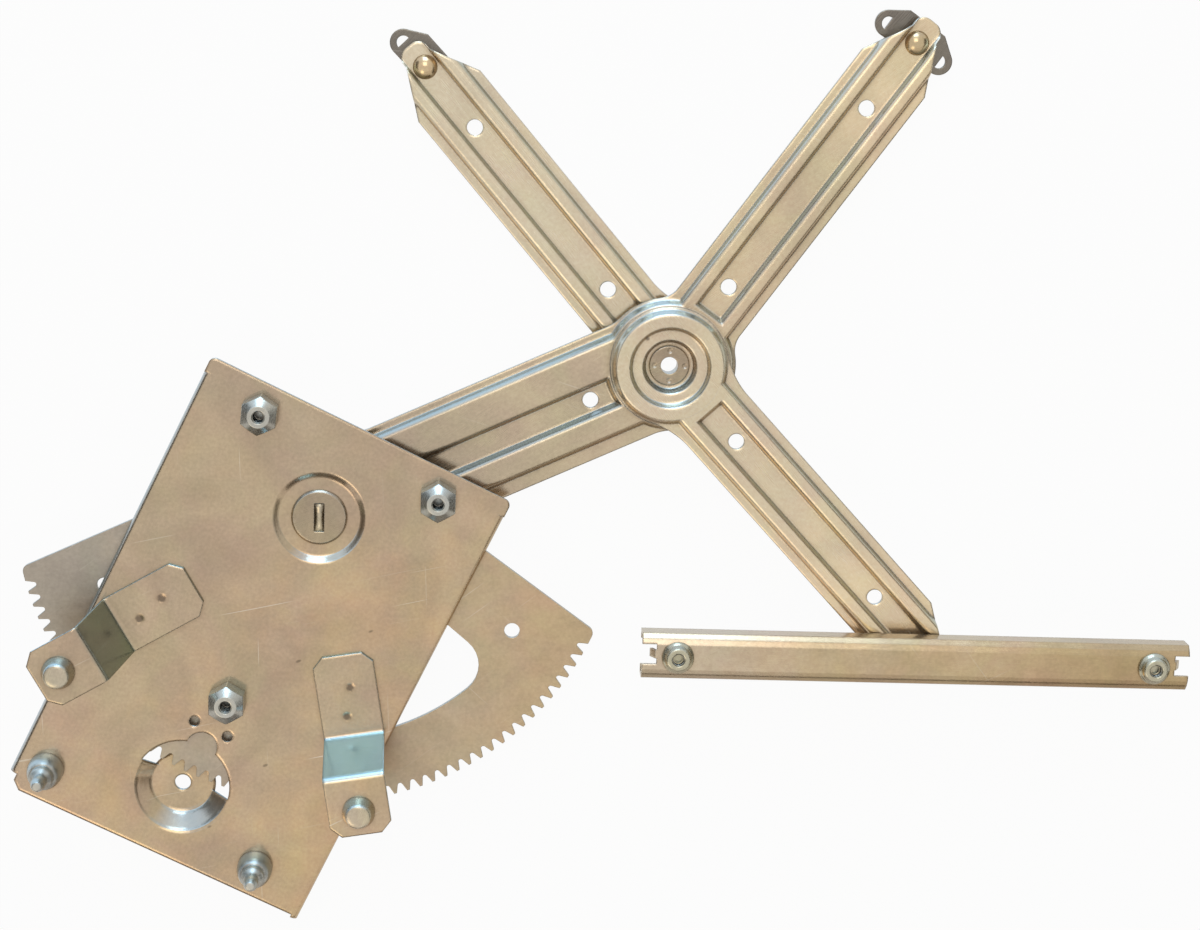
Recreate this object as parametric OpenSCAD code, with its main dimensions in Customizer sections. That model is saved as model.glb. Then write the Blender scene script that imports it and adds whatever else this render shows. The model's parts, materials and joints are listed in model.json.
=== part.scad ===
// Scissor-arm window regulator, seen from the side of the door's inner panel.
// X runs along the guide rail, Y towards the top of the door and Z towards the inner panel.
// The origin lies on the main pivot's axis, in the front face of the base plate.

/* [Base plate] */
// Width of the base plate
plate_w = 153; // [140:1:170]
// Reach of the plate above the main pivot
plate_above = 46.5; // [44:0.5:60]
// Reach of the plate past the pinion's axis
plate_foot = 35.1; // [28:0.1:50]
// Sheet thickness of the plate
plate_t = 1.5; // [1:0.1:2]
// Lean of the plate's long sides away from square to the rail
plate_lean = 25; // [15:1:35]
// Width of the cut corner at the lower left
cut_corner_w = 7.6; // [4:0.2:14]
// Height of the cut corner at the lower left
cut_corner_h = 7; // [5:0.5:14]
// Radius of the plate's other corners
plate_corner_r = 3; // [1:0.5:5]
// How far the two long edges are bent back, from the front face
edge_depth = 3.9; // [3:0.1:5]
// Outer radius of the bent edges
edge_bend_r = 3.5; // [2:0.1:3.6]
// Length at the top corners where the edge stays flat
edge_relief = 8; // [4:1:15]
// How far the right edge runs on below the plate
edge_tail = 1.4; // [0.4:0.1:3]

/* [Main pivot] */
// Radius of the dished recess at the plate's surface
recess_r = 22; // [20:0.5:24]
// Radius of the recess floor
recess_floor_r = 18.3; // [17:0.1:19]
// Depth of the recess
recess_depth = 2.4; // [1.5:0.1:3]
// Radius of the pivot pin's shank
pin_r = 6; // [4:0.25:7]
// Radius of the pin's front head
pin_head_r = 13; // [10:0.5:15]
// Thickness of the pin's front head
pin_head_t = 1.6; // [1:0.1:2]
// Width of the slot in the head, for a counterbalance spring
pin_slot_w = 4.6; // [3:0.1:6]
// Length of the slot in the head
pin_slot_l = 13.5; // [10:0.5:16]
// Radius of the pin's rear head
pin_tail_r = 9.5; // [8:0.5:11]
// Thickness of the pin's rear head
pin_tail_t = 2.6; // [1.5:0.1:3]

/* [Pinion pocket] */
// Pitch radius of the pinion that goes into the pocket
pinion_pitch_r = 9; // [8:0.1:10]
// Turn of the pinion's direction away from the plate's middle
pinion_turn = 0.5; // [0:0.1:2]
// Radius of the pocket at the plate's surface
pocket_r = 23.5; // [21:0.5:25]
// Radius of the pocket's flat floor
pocket_floor_r = 13; // [11:0.5:14]
// Radius of the pinion's bearing hole in the floor
drive_bore_r = 3.75; // [3:0.25:5]
// Radius of the cut-out that lets the teeth into the pocket
pocket_cut_r = 22.6; // [20.5:0.1:23]
// Play between the tooth tips and the end of the cut-out
pocket_cut_play = 4.2; // [2:0.2:6]
// Radius of the round lobe of the cut-out
lobe_r = 7.2; // [5:0.2:9]
// Distance from the pinion's axis to the lobe's centre
lobe_reach = 22; // [18:0.5:24]
// Radius of the two small holes above the pocket
pocket_hole_r = 2.5; // [1.5:0.25:3.5]
// Distance between the two small holes
pocket_hole_pitch = 17; // [12:0.5:24]
// Distance from the pinion's axis to the small holes' line
pocket_hole_reach = 32; // [30:0.5:36]

/* [Panel fixings] */
// Width across the flats of the tall nuts
nut_af = 16; // [13:0.5:18]
// Height of the tall nuts
nut_h = 12; // [9:0.5:14]
// Height where the nut's cone starts
nut_hex_h = 8.6; // [6:0.2:9]
// Radius of the nut's round top
nut_top_r = 5; // [4.2:0.2:6]
// Radius of the nuts' tapped bore
nut_bore_r = 3; // [2:0.25:3.5]
// Depth of the nuts' tapped bore
nut_bore_depth = 10; // [6:0.5:11]
// Distance between the two upper nuts
nut_pitch = 91; // [80:1:110]
// Height of the upper nuts above the main pivot
nut_rise = 32.6; // [30:0.2:36]
// Distance of the lower nut above the small holes' line
nut_hole_gap = 16.4; // [14:0.2:24]
// Turn of the nuts' flats
nut_turn = 55; // [0:1:60]
// Radius of the locating studs' foot
stud_foot_r = 8.3; // [7:0.1:10]
// Radius of the locating studs' shoulder
stud_shoulder_r = 5.4; // [4.5:0.1:6.5]
// Radius of the locating studs' pin
stud_pin_r = 3.3; // [2.5:0.05:4]
// Height of the locating studs
stud_h = 25; // [18:0.5:30]
// Distance of the left stud from the plate's left edge
stud_left_in = 14.9; // [10:0.1:20]
// Distance of the left stud from the plate's lower edge
stud_left_up = 15; // [10:0.1:20]
// Distance of the right stud from the plate's right edge
stud_right_in = 29.3; // [20:0.5:40]
// Distance of the right stud from the plate's lower edge
stud_right_up = 14; // [10:0.1:20]

/* [Brackets] */
// Width of the bracket straps
strap_w = 28.5; // [20:0.5:32]
// Sheet thickness of the straps
strap_t = 1.8; // [1.2:0.1:2.5]
// Length of the strap that is welded to the plate
strap_foot = 38; // [34:0.5:42]
// Length of the strap's raised end
strap_top = 25.6; // [24:0.2:34]
// Height of the raised end's front face above the plate
strap_rise = 36; // [20:1:40]
// Slope of the riser
strap_slope = 76; // [65:1:85]
// Inner radius of the strap's bends
strap_bend_r = 2; // [1:0.25:3]
// Size of the strap's cut corners
strap_cut = 5; // [2:0.5:8]
// Sideways place of the strap's welded end
strap_x = 38; // [36:0.5:44]
// Drop of the strap's welded end below the main pivot
strap_y = 54.4; // [48:0.2:60]
// Fall of the straps below square
strap_angle = 55.4; // [45:0.2:65]
// Radius of the boss at its foot
boss_r = 7.5; // [5:0.25:9]
// Radius of the boss's flat top
boss_top_r = 5.1; // [3:0.1:7]
// Height of the boss
boss_h = 7.5; // [4:0.5:10]
// Distance of the boss from the raised end's edge
boss_in = 11.2; // [9:0.1:14]

/* [Toothed sector] */
// Sheet thickness of the sector
sector_t = 2.5; // [2:0.1:3]
// Radius over the tooth tips
sector_tip_r = 140; // [120:0.5:150]
// Module of the teeth
tooth_module = 2; // [1.8:0.05:2.2]
// Height of the teeth above the pitch circle
tooth_addendum = 2.6; // [2:0.1:2.8]
// Depth of the teeth
tooth_depth = 4.6; // [4:0.1:5]
// Lean of the tooth flanks
tooth_flank = 21; // [17:1:23]
// Direction of the sector's middle, from the rail's direction
sector_aim = -95.2; // [-100:0.1:-90]
// Half the angle between the sector's straight sides
sector_half = 59.5; // [57:0.5:61]
// Radius of the sector's hub, which the sides touch
sector_hub_r = 33.3; // [32.5:0.1:36]
// Inner radius of the windows
window_in_r = 62; // [56:1:70]
// Width of the toothed rim outside the windows
sector_rim_w = 31.8; // [26:0.2:36]
// Angle of the windows' outer ends from the middle
window_end = 55.2; // [45:0.2:57]
// Half the width of the spoke between the windows, in degrees
spoke_half = 9; // [6:0.5:14]
// Radius of the windows' outer corners
window_corner_r = 15; // [6:0.5:17]
// Radius of the windows' inner corners
window_heel_r = 9; // [5:0.5:12]
// Radius of the sector's end corners
corner_round = 3.2; // [2:0.1:4]
// Distance of the sector's rivets from the main pivot
sector_rivet_reach = 27; // [25:0.5:29]
// Radius of the sector's rivets
sector_rivet_r = 2.5; // [2:0.1:3]
// Radius of the sector rivets' heads
sector_rivet_head_r = 4; // [3.4:0.1:4.5]
// Radius of the tooling holes
tool_hole_r = 3.65; // [2.5:0.05:5]
// Distance of the sector's tooling holes from the tooth tips
sector_hole_in = 34.7; // [30:0.1:38]
// Angle of the sector's tooling holes from the middle
sector_hole_angle = 65; // [62:0.1:67]

/* [Arms] */
// Sheet thickness of the arms
arm_t = 1.8; // [1.2:0.1:2]
// Height of the pressed ribs above the web
rib_h = 4.3; // [4:0.1:5]
// Main pivot to cross pivot
lift_reach = 176.8; // [168:0.2:184]
// Direction of the lift arm's lower part
lift_angle = 25.1; // [20:0.1:30]
// Width of the lift arm's lower part
lift_w = 55.2; // [50:0.2:60]
// Bend of the lift arm at the cross pivot
lift_bend = 29.7; // [20:0.1:35]
// Cross pivot to the lift arm's slide
lift_tip_reach = 185; // [175:0.5:195]
// Width of the slender arms
slim_w = 36.6; // [34:0.2:40]
// Inner edge of the slender arms' ribs, from the middle
slim_rib_in = 6; // [5.6:0.1:7]
// Outer edge of the slender arms' ribs, from the middle
slim_rib_out = 14.3; // [13.5:0.1:15.5]
// Rounding of the slender arms' ribs
slim_round = 2.4; // [1.9:0.1:2.6]
// Slope of the slender arms' ribs
slim_slope = 1.9; // [1.2:0.1:2.4]
// Rounding of the lift arm's wide ribs
wide_round = 2.2; // [1.9:0.1:2.6]
// Slope of the lift arm's wide ribs
wide_slope = 2.4; // [1.2:0.1:3]
// Radius of the lift arm's raised disc at the main pivot
pivot_plateau_r = 32; // [31:0.5:33]
// Radius where that disc's skirt meets the web
pivot_skirt_r = 36; // [34:0.5:38]
// Width of the flat flange outside that skirt
pivot_flange_w = 3; // [1:0.2:5]
// Cross pivot to the rail slide
front_reach = 185.5; // [175:0.5:195]
// Direction of the equalizer's front half
front_angle = -46.5; // [-55:0.1:-40]
// Cross pivot to the left glass slide
rear_reach = 176; // [168:0.5:184]
// Direction of the equalizer's rear half
rear_angle = 131.3; // [125:0.1:140]
// Width of the arms' end tabs
tab_w = 13.6; // [12:0.2:15]
// Length of the end tabs past the rivet
tab_end = 12; // [9:0.5:14]
// Distance before the rivet where the flanges start to taper
taper_back = 17; // [12:0.5:22]
// Distance from the arms' rivets to the tooling holes
arm_hole_back = 36.9; // [36:0.1:44]
// Distance from the cross pivot to the tooling hole on the lift arm's upper part
lift_hole_reach = 45.4; // [42:0.1:50]
// Distance from the cross pivot to the tooling hole on the equalizer's front half
front_hole_reach = 47.3; // [42:0.1:50]
// Distance from the cross pivot to the tooling hole on the equalizer's rear half
rear_hole_reach = 44.4; // [42:0.1:50]
// Distance from the cross pivot to the tooling hole on the lift arm's wide part
wide_hole_reach = 40; // [38:0.1:50]

/* [Cross pivot] */
// Radius of the hub disc's flat ring
disc_r = 24.4; // [23.5:0.1:25.5]
// Radius where the hub disc's skirt meets the flange
skirt_r = 27.2; // [26.6:0.1:28.6]
// Width of the flange outside the skirts and the ring rib
hub_flange_w = 0.6; // [0.3:0.1:2]
// Distance from the equalizer's skirts to the flat of its webs
web_gap = 2.4; // [1.5:0.1:4]
// Radius of the first step down in the hub disc
step_r = 17.6; // [16:0.2:19]
// Depth of the first step
step_depth = 3.4; // [2:0.1:4]
// Radius of the hub disc's floor
hub_floor_r = 11.3; // [10.5:0.1:12]
// Inner radius of the lift arm's ring rib
ring_in_r = 23.9; // [23:0.1:25.5]
// Outer radius of the lift arm's ring rib
ring_out_r = 30.7; // [30:0.1:33]
// Outer radius of the hub sleeve
sleeve_r = 5; // [4:0.25:6]
// Inner radius of the hub sleeve
sleeve_bore_r = 4; // [3:0.25:4.25]
// Radius of the sleeve's flanges
sleeve_flange_r = 9.4; // [7:0.2:9.8]
// Thickness of the sleeve's flanges
sleeve_flange_t = 1.2; // [0.8:0.1:1.6]

/* [Slides] */
// Thickness of the slide plates
slide_t = 2; // [1.5:0.1:2.5]
// Half the distance between the ears' centres
ear_reach = 14.6; // [12:0.1:16]
// Radius of the ears
ear_r = 6.2; // [5:0.1:7]
// Radius of the D-shaped holes
d_hole_r = 3.1; // [2.5:0.1:4]
// Width of the glass slides' wide side, from the middle
slide_half_w = 10.7; // [8:0.1:12]
// Half the width of the rail slide's middle
rail_slide_half_w = 8.6; // [7:0.1:8.8]
// Half the length of the slides' middle
slide_half_l = 10; // [8:0.1:12]
// Turn of the right glass slide, from the rail's direction
right_slide_turn = -34; // [-60:1:0]
// Turn of the left glass slide, from the rail's direction
left_slide_turn = -46; // [-80:1:0]
// Radius of the slides' rivets
rivet_r = 3.5; // [3:0.25:4]
// Radius of the rivets' domed heads
rivet_head_r = 5.6; // [4.5:0.1:6]
// Height of the rivets' domed heads
rivet_head_h = 3; // [2:0.1:3.5]
// Radius of the rivets' flat tails
rivet_tail_r = 5; // [4.5:0.1:5.5]
// Thickness of the rivets' flat tails
rivet_tail_t = 1.3; // [0.8:0.1:1.8]

/* [Guide rail] */
// Length of the guide rail
rail_l = 259; // [250:1:300]
// Width of the guide rail
rail_w = 21.8; // [21:0.1:24]
// Depth of the guide rail
rail_d = 11.5; // [10:0.5:14]
// Sheet thickness of the guide rail
rail_t = 1.5; // [1:0.1:1.5]
// Width of the rail's flat front
rail_flat_w = 11.8; // [10:0.2:13]
// Drop of the rail's shoulders
rail_shoulder = 3; // [2:0.1:4]
// Width of the lips at the rail's mouth
rail_lip = 3; // [2:0.1:3.2]
// Offset of the rail's middle from its slide
rail_shift = -6.6; // [-20:0.2:20]
// Length of the notch in each end of the rail's front
rail_notch = 6.8; // [4:0.2:9]
// Reach of the notch above the rail's middle
rail_notch_up = 6.1; // [4:0.1:7]
// Reach of the notch below the rail's middle
rail_notch_down = 3.5; // [2:0.1:7]
// Width of the bent stop tabs
stop_w = 4; // [3:0.2:5]
// Reach of the bent stop tabs
stop_reach = 3; // [2:0.2:4]
// Drop of the bent stop tabs
stop_drop = 4; // [3:0.2:5]
// Distance between the rail's nuts
rail_nut_pitch = 225.4; // [215:0.2:232]
// Radius of the rail nuts' foot
rail_nut_r = 7.5; // [6.5:0.1:8.5]
// Radius of the rail nuts' top
rail_nut_top_r = 5.6; // [5:0.1:6.5]
// Height of the rail nuts
rail_nut_h = 5; // [4:0.25:7]
// Radius of the rail nuts' tapped bore
rail_nut_bore_r = 3; // [2:0.25:3.5]

/* [Clearances] */
// Gap between flat pieces that pass each other
side_gap = 0.3; // [0.2:0.05:0.4]
// Radial play of the running fits
run_play = 0.07; // [0.03:0.01:0.1]
// Gap between the front arm's ribs and the rail
rail_gap = 0.8; // [0.5:0.1:1.2]

/* [Hidden] */
$fn = 96;
eps = 0.01;
past = 1;               // overshoot of cutting tools

// Sizes that follow from the toothed sector
sector_pitch_r = sector_tip_r - tooth_addendum;
window_out_r = sector_tip_r - sector_rim_w;
sector_hole_reach = sector_tip_r - sector_hole_in;
tooth_pitch = 180 * tooth_module / sector_pitch_r;   // in degrees
end_land = 4;                                        // plain length at each end of the teeth, in degrees
teeth_per_side = floor((sector_half + asin(sector_hub_r / sector_tip_r) - end_land) / tooth_pitch);
pocket_reach = sector_pitch_r + pinion_pitch_r;
plate_below = pocket_reach + plate_foot;
nut_drop = pocket_reach - pocket_hole_reach - nut_hole_gap;

// Levels, from the plate's front face downwards and then up through the rail
plate_back = max(edge_depth, recess_depth + plate_t);
sector_z = -(plate_back + side_gap) - sector_t;   // back of the sector
lift_z = sector_z - rib_h;                        // web front of the lift arm
lift_back = lift_z - arm_t;
rear_z = lift_back - side_gap - rib_h;            // web front of the equalizer's rear half
rear_back = rear_z - arm_t;
front_z = sector_z + side_gap + arm_t;            // web front of the equalizer's front half
front_back = front_z - arm_t;
front_crest = front_z + rib_h;
hub_floor_z = lift_z + side_gap + arm_t;          // floor of the front hub disc
pocket_depth = -(sector_z - side_gap);
glass_slide_z = rear_back - side_gap - slide_t;
rail_z = max(front_crest + rail_gap, side_gap);
rail_slide_z = rail_z + rail_t + side_gap;
rail_front = rail_z + rail_d;
pin_tail_z = sector_z - arm_t - side_gap - pin_tail_t;

// Pivots and rivets in plan
function polar(reach, angle) = reach * [cos(angle), sin(angle)];
cross = polar(lift_reach, lift_angle);
lift_tip_angle = lift_angle + lift_bend;
right_end = cross + polar(lift_tip_reach, lift_tip_angle);
left_end = cross + polar(rear_reach, rear_angle);
rail_end = cross + polar(front_reach, front_angle);
rail_mid = rail_end + [rail_shift, 0];

steel = [0.74, 0.66, 0.54];
sector_steel = [0.68, 0.60, 0.48];
dark_steel = [0.45, 0.42, 0.38];
bright_zinc = [0.80, 0.80, 0.78];

// Points of an arc, from one angle to another
function arc(centre, r, from, to, steps = 6) =
    [for (i = [0 : steps]) centre + polar(r, from + (to - from) * i / steps)];

// Points of a smooth step from one radius and height to another
function smooth_step(r0, z0, r1, z1, steps = 8) =
    [for (i = [0 : steps]) [r0 + (r1 - r0) * i / steps, z0 + (z1 - z0) * (1 - cos(180 * i / steps)) / 2]];

// A line of points given the thickness t downwards
function sheet(line, t) = concat(line, [for (i = [len(line) - 1 : -1 : 0]) line[i] - [0, t]]);

// Touching point on a circle of the line from an outside point
function touch(from, centre, r, side) =
    let (d = from - centre, a = atan2(d[1], d[0]) + side * acos(r / norm(d))) centre + polar(r, a);

module at(place, z = 0) {
    translate([place[0], place[1], z]) children();
}

module plate_frame() {
    rotate([0, 0, -plate_lean]) children();
}

// Puts its children on the pinion's axis, in the plate's own frame
module at_pinion(z = 0) {
    rotate([0, 0, -pinion_turn]) translate([0, -pocket_reach, z]) children();
}

// Moves its children to a pivot and turns them along an arm
module along(place, angle, z = 0) {
    at(place, z) rotate([0, 0, angle]) children();
}

// Base plate
module rounded_square(w, low, high, r) {
    translate([-w / 2 + r, low]) square([w - 2 * r, high - low]);
    translate([-w / 2, low + r]) square([w, high - low - 2 * r]);
    for (x = [-w / 2 + r, w / 2 - r]) for (y = [low + r, high - r]) translate([x, y]) circle(r);
}

module cut_corner() {
    translate([-plate_w / 2, -plate_below])
        polygon([[-past, -past], [cut_corner_w, -past], [cut_corner_w, 0], [0, cut_corner_h],
            [-past, cut_corner_h]]);
}

// Section of a long edge that is bent back, with the plate's face at the left
module bent_edge_section() {
    intersection() {
        difference() {
            translate([-edge_bend_r, -edge_bend_r]) circle(edge_bend_r);
            translate([-edge_bend_r, -edge_bend_r]) circle(edge_bend_r - plate_t);
        }
        translate([-edge_bend_r, -edge_bend_r]) square(edge_bend_r);
    }
    translate([-plate_t, -edge_depth]) square([plate_t, edge_depth - edge_bend_r]);
}

module bent_edge(low) {
    high = plate_above - edge_relief;
    translate([plate_w / 2, high, 0]) rotate([90, 0, 0]) linear_extrude(high - low) bent_edge_section();
}

dish_rim = 1;                                        // flat rim that joins a dish to the sheet

// Sheet that sinks from a rim to a flat floor with a round hole
module dish(rim_r, floor_r, depth, hole_r) {
    run = (rim_r - floor_r) / 8;
    rotate_extrude() polygon(sheet([[rim_r + dish_rim, 0], [rim_r, 0], [rim_r - run, -0.07 * depth],
        [rim_r - 1.8 * run, -0.2 * depth], [floor_r + 1.8 * run, -0.8 * depth],
        [floor_r + run, -0.93 * depth], [floor_r, -depth], [hole_r, -depth]], plate_t));
}

module plate_sheet_outline() {
    difference() {
        rounded_square(plate_w, -plate_below, plate_above, plate_corner_r);
        cut_corner();
        for (side = [-1, 1])
            translate([side * plate_w / 2 - edge_bend_r, -plate_below - past])
                square([2 * edge_bend_r, plate_below + past + plate_above - edge_relief]);
    }
}

module tooth_cut_out() {
    edge = arc([0, 0], sector_tip_r + pocket_cut_play, -100, -80, 10);
    half = pocket_cut_r + past;
    rotate(-pinion_turn) {
        intersection() {
            translate([0, -pocket_reach]) circle(pocket_cut_r);
            polygon(concat(edge, [[half, -pocket_reach / 2], [-half, -pocket_reach / 2]]));
        }
        translate([0, lobe_reach - pocket_reach]) circle(lobe_r);
    }
}

module base_plate() {
    color(steel) plate_frame() {
        difference() {
            union() {
                difference() {
                    translate([0, 0, -plate_t]) linear_extrude(plate_t) plate_sheet_outline();
                    translate([0, 0, -plate_t - past])
                        cylinder(r = recess_r + dish_rim / 2, h = plate_t + 2 * past);
                    at_pinion(-plate_t - past)
                        cylinder(r = pocket_r + dish_rim / 2, h = plate_t + 2 * past);
                }
                bent_edge(-plate_below - edge_tail);
                mirror([1, 0, 0]) bent_edge(-plate_below + cut_corner_h);
                dish(recess_r, recess_floor_r, recess_depth, pin_r);
                at_pinion() dish(pocket_r, pocket_floor_r, pocket_depth, drive_bore_r);
            }
            translate([0, 0, sector_z - side_gap / 2]) linear_extrude(-sector_z + past) tooth_cut_out();
            for (side = [-1, 1])
                at_pinion(-plate_t - past) translate([side * pocket_hole_pitch / 2, pocket_hole_reach])
                    cylinder(r = pocket_hole_r, h = plate_t + 2 * past);
        }
    }
}

// Brackets that stand the panel off the plate
riser_turn = strap_bend_r + strap_t / 2;
riser_low = strap_t + strap_bend_r - riser_turn * cos(strap_slope);
riser_high = strap_rise - strap_t - strap_bend_r + riser_turn * cos(strap_slope);
riser_run = 2 * riser_turn * sin(strap_slope) + (riser_high - riser_low) / tan(strap_slope);
strap_l = strap_foot + riser_run + strap_top;
boss_place = strap_l - boss_in;
weld_places = [8, 22];                            // weld marks, back from the riser
weld_r = 2.6;
weld_depth = 0.4;

module strap_section() {
    low = [strap_foot, strap_t + strap_bend_r];
    high = [strap_foot + riser_run, strap_rise - strap_t - strap_bend_r];
    outer = strap_bend_r + strap_t;
    polygon(concat(
        [[0, 0]], arc(low, outer, -90, strap_slope - 90), arc(high, strap_bend_r, 90 + strap_slope, 90),
        [[strap_l, strap_rise - strap_t], [strap_l, strap_rise]],
        arc(high, outer, 90, 90 + strap_slope), arc(low, strap_bend_r, strap_slope - 90, -90),
        [[0, strap_t]]));
}

module strap_outline() {
    half = strap_w / 2;
    polygon([[0, strap_cut - half], [strap_cut, -half], [strap_l - strap_cut, -half],
        [strap_l, strap_cut - half], [strap_l, half - strap_cut], [strap_l - strap_cut, half],
        [strap_cut, half], [0, half - strap_cut]]);
}

module bracket_frame(side) {
    plate_frame() mirror([side < 0 ? 1 : 0, 0, 0])
        translate([strap_x, -strap_y, 0]) rotate([0, 0, -strap_angle]) children();
}

module bracket(side) {
    color(steel) bracket_frame(side) difference() {
        intersection() {
            translate([0, strap_w / 2, 0]) rotate([90, 0, 0]) linear_extrude(strap_w) strap_section();
            linear_extrude(strap_rise) strap_outline();
        }
        for (back = weld_places)
            translate([strap_foot - back, (back - 15) / 4, strap_t - weld_depth])
                cylinder(r1 = weld_r / 2, r2 = weld_r, h = weld_depth + eps);
    }
}

module bracket_boss(side) {
    color(bright_zinc) bracket_frame(side) translate([boss_place, 0, strap_rise])
        rotate_extrude() polygon([[0, 0], [boss_r, 0], [boss_r, 1.5], [boss_r - 0.4, 2.6],
            [boss_top_r + 0.5, boss_h - 0.5], [boss_top_r, boss_h], [0, boss_h]]);
}

// Tall nuts and locating studs on the plate
module plate_nut(place, turn) {
    corner_r = nut_af / 2 / cos(30);
    color(bright_zinc) plate_frame() at(place) difference() {
        intersection() {
            rotate([0, 0, turn]) cylinder(r = corner_r, h = nut_h, $fn = 6);
            rotate_extrude()
                polygon([[0, 0], [corner_r + past, 0], [corner_r + past, nut_hex_h - 0.7],
                    [nut_top_r, nut_h], [0, nut_h]]);
        }
        translate([0, 0, nut_h - nut_bore_depth]) cylinder(r = nut_bore_r, h = nut_bore_depth + past);
    }
}

stud_left = [stud_left_in - plate_w / 2, stud_left_up - plate_below];
stud_right = [plate_w / 2 - stud_right_in, stud_right_up - plate_below];

module locating_stud(place) {
    foot_h = 0.08 * stud_h;
    bell_h = 0.42 * stud_h;
    pin_h = 0.64 * stud_h;
    bell = [for (i = [0 : 6]) [stud_shoulder_r + (stud_foot_r - stud_shoulder_r) * cos(15 * i),
        foot_h + (bell_h - foot_h) * sin(15 * i)]];
    color(bright_zinc) plate_frame() at(place) rotate_extrude()
        polygon(concat([[0, 0], [stud_foot_r, 0]], bell,
            [[stud_shoulder_r, pin_h - 2], [stud_pin_r, pin_h], [stud_pin_r, stud_h - 2.8],
            [stud_pin_r - 1.2, stud_h], [0, stud_h]]));
}

// Main pivot pin, riveted into the recess
module pivot_pin() {
    head_top = -recess_depth + pin_head_t;
    shank_end = pin_tail_z + pin_tail_t;
    color(bright_zinc) plate_frame() difference() {
        rotate_extrude()
            polygon([[0, head_top], [pin_head_r - 1, head_top], [pin_head_r, head_top - 0.9],
                [pin_head_r, -recess_depth], [pin_r, -recess_depth], [pin_r, shank_end],
                [pin_tail_r, shank_end], [pin_tail_r, pin_tail_z + 0.8],
                [pin_tail_r - 0.8, pin_tail_z], [0, pin_tail_z]]);
        rotate([0, 0, plate_lean]) translate([-pin_slot_w / 2, -pin_slot_l / 2, head_top - 1.3])
            cube([pin_slot_w, pin_slot_l, 1.3 + past]);
    }
}

// Toothed sector

// Space between two teeth, with a round root
module tooth_gap() {
    root_r = sector_tip_r - tooth_depth;
    half = PI * tooth_module / 4;                     // half the gap on the pitch circle
    lean = tan(tooth_flank);
    round_r = (half - (sector_pitch_r - root_r) * lean) / (1 / cos(tooth_flank) - lean);
    centre = root_r + round_r;
    foot = [centre - round_r * sin(tooth_flank), round_r * cos(tooth_flank)];
    mouth = foot[1] + (sector_tip_r + past - foot[0]) * lean;
    polygon(concat([[sector_tip_r + past, -mouth], [sector_tip_r + past, mouth]],
        arc([centre, 0], round_r, 90 + tooth_flank, 270 - tooth_flank, 4)));
}

module sector_blank() {
    side = polar(2 * sector_tip_r, sector_half);
    heel = polar(sector_hub_r, sector_half + 90);
    intersection() {
        circle(sector_tip_r, $fn = 360);
        polygon([[heel[0], -heel[1]], [heel[0] + side[0], -heel[1] - side[1]], [3 * sector_tip_r, 0],
            heel + side, heel]);
    }
    circle(sector_hub_r + 0.04);
}

// Outline of a window between two angles from the sector's middle
function window_outline(from, to) =
    let (r = window_corner_r, s = window_heel_r, high = window_out_r - r, low = window_in_r + s,
        wide = asin(r / high), tight = asin(s / low))
    concat(arc(polar(high, from + wide), r, from - 90, from + wide, 8),
        arc([0, 0], window_out_r, from + wide, to - wide, 14),
        arc(polar(high, to - wide), r, to - wide, to + 90, 8),
        arc(polar(low, to - tight), s, to + 90, to - tight + 180, 5),
        arc([0, 0], window_in_r, to - tight, from + tight, 8),
        arc(polar(low, from + tight), s, from + tight + 180, from + 270, 5));

// Takes the sharp corner off one end of the sector
module corner_cut(side) {
    drop = sector_hub_r - corner_round;
    reach = sqrt(pow(sector_tip_r - corner_round, 2) - pow(drop, 2));
    centre = polar(reach, sector_half) + polar(drop, sector_half + 90);
    aim = atan2(centre[1], centre[0]);
    upper = concat(arc(centre, corner_round, sector_half + 90, aim, 5),
        [centre + polar(1.45 * corner_round, (sector_half + 90 + aim) / 2)]);
    polygon(side > 0 ? upper : [for (i = [len(upper) - 1 : -1 : 0]) [upper[i][0], -upper[i][1]]]);
}

sector_rivet_angles = [0, 120, 240];

module toothed_sector() {
    color(sector_steel) rotate([0, 0, sector_aim]) translate([0, 0, sector_z]) difference() {
        linear_extrude(sector_t) difference() {
            sector_blank();
            for (i = [-teeth_per_side - 1 : teeth_per_side]) rotate((i + 0.5) * tooth_pitch) tooth_gap();
            polygon(window_outline(spoke_half, window_end));
            polygon(window_outline(-window_end, -spoke_half));
            for (side = [-1, 1]) {
                translate(polar(sector_hole_reach, side * sector_hole_angle)) circle(tool_hole_r);
                corner_cut(side);
            }
            for (a = sector_rivet_angles) translate(polar(sector_rivet_reach, a)) circle(sector_rivet_r);
        }
        translate([0, 0, -past]) cylinder(r = pin_r + run_play, h = sector_t + 2 * past);
    }
}

module sector_rivets() {
    head_h = 1.6;
    head_r = sector_rivet_head_r;
    low = sector_z - arm_t;
    high = sector_z + sector_t;
    color(bright_zinc) rotate([0, 0, sector_aim]) for (a = sector_rivet_angles)
        at(polar(sector_rivet_reach, a)) rotate_extrude($fn = 48)
            polygon([[0, high + head_h], [head_r - 1.4, high + head_h], [head_r, high + 0.5],
                [head_r, high], [sector_rivet_r, high], [sector_rivet_r, low], [head_r, low],
                [head_r, low - 0.5], [head_r - 1.4, low - head_h], [0, low - head_h]]);
}

rib_top = rib_h - 0.06;                              // the ribs run in just under the hubs' tops

bend_steps = 4;                                      // flats in each rounded edge of a rib

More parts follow.
